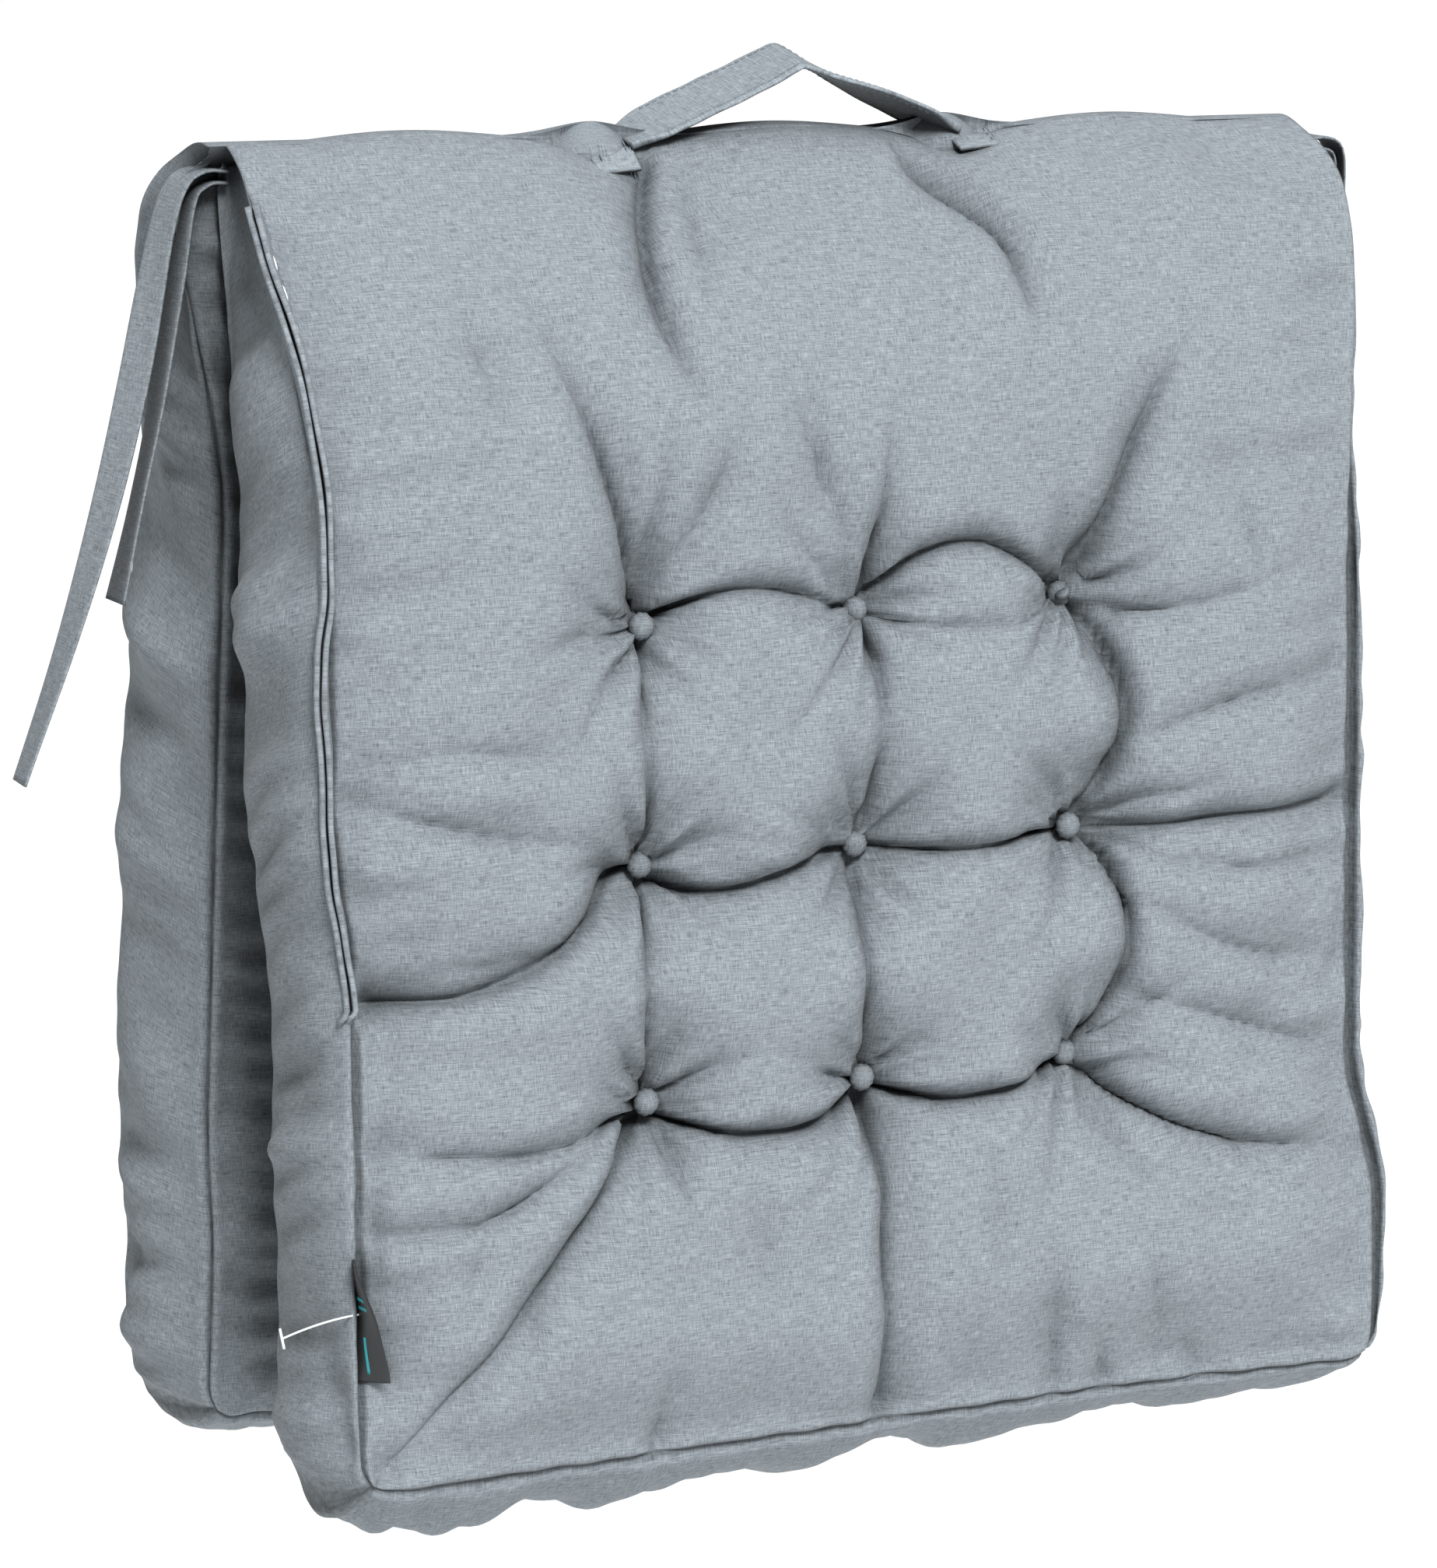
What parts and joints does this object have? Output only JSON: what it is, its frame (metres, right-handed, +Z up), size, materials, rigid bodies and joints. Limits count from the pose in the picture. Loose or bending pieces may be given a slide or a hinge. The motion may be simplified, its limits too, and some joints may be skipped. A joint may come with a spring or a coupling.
{
  "type": "chair seat pad",
  "caption": "Folding seat-and-back chair pad with tufted fibre-filled halves, fabric ties and a carry handle, hanging folded from its handle.",
  "frame": {"origin": "the point under the handle's peak where a hook holds the pad", "axes": "+Z up, +X along the fold to the viewer's right when facing the seat half, +Y from the seat half to the back half"},
  "size_m": [0.5924, 0.2175, 0.5515],
  "materials": {
    "cloth": "matte",
    "button_cloth": "matte",
    "fibre": "matte",
    "twine": "matte",
    "label": "satin",
    "pin": "gloss"
  },
  "bodies": {
    "handle": {"carry_handle": "cloth"},
    "crest": {"fold_crest": "cloth", "fold_filling": "fibre", "fold_seam": "cloth", "handle_end_left": "cloth", "handle_end_right": "cloth"},
    "left_ties": {"left_long_tie": "cloth", "left_short_tie": "cloth"},
    "right_ties": {"right_long_tie": "cloth", "right_short_tie": "cloth"},
    "seat_half": {"seat_outer_panel": "cloth", "seat_inner_panel": "cloth", "seat_boxing": "cloth", "seat_filling": "fibre", "seat_button_1": "button_cloth", "seat_button_2": "button_cloth", "seat_button_3": "button_cloth", "seat_button_4": "button_cloth", "seat_button_5": "button_cloth", "seat_button_6": "button_cloth", "seat_button_7": "button_cloth", "seat_button_8": "button_cloth", "seat_button_9": "button_cloth", "seat_tuft_1": "twine", "seat_tuft_2": "twine", "seat_tuft_3": "twine", "seat_tuft_4": "twine", "seat_tuft_5": "twine", "seat_tuft_6": "twine", "seat_tuft_7": "twine", "seat_tuft_8": "twine", "seat_tuft_9": "twine", "closing_flange": "cloth"},
    "back_half": {"back_outer_panel": "cloth", "back_inner_panel": "cloth", "back_boxing": "cloth", "back_filling": "fibre", "back_button_1": "button_cloth", "back_button_2": "button_cloth", "back_button_3": "button_cloth", "back_button_4": "button_cloth", "back_button_5": "button_cloth", "back_button_6": "button_cloth", "back_button_7": "button_cloth", "back_button_8": "button_cloth", "back_button_9": "button_cloth", "back_tuft_1": "twine", "back_tuft_2": "twine", "back_tuft_3": "twine", "back_tuft_4": "twine", "back_tuft_5": "twine", "back_tuft_6": "twine", "back_tuft_7": "twine", "back_tuft_8": "twine", "back_tuft_9": "twine"},
    "label": {"side_label": "label", "tag_pin": "pin"}
  },
  "joints": [
    {"name": "handle_swing", "type": "hinge", "parent": "handle", "child": "crest", "pos_m": [0, 0, -0.02], "axis": [1, 0, 0], "range_deg": [-65, 65]},
    {"name": "seat_fold", "type": "hinge", "parent": "crest", "child": "seat_half", "pos_m": [0, 0, -0.032], "axis": [-1, 0, 0], "range_deg": [0, 74]},
    {"name": "back_fold", "type": "hinge", "parent": "crest", "child": "back_half", "pos_m": [0, 0, -0.032], "axis": [-1, 0, 0], "range_deg": [-74, 0]},
    {"name": "left_tie_swing", "type": "hinge", "parent": "crest", "child": "left_ties", "pos_m": [-0.2446, 0, -0.0351], "axis": [0, 1, 0], "range_deg": [0, 45]},
    {"name": "right_tie_swing", "type": "hinge", "parent": "crest", "child": "right_ties", "pos_m": [0.2446, 0, -0.0351], "axis": [0, -1, 0], "range_deg": [0, 60]},
    {"name": "label_flip", "type": "hinge", "parent": "seat_half", "child": "label", "pos_m": [-0.241, -0.0964, -0.47143], "axis": [0, -0.0541, 0.9985], "range_deg": [-55, 30]}
  ]
}
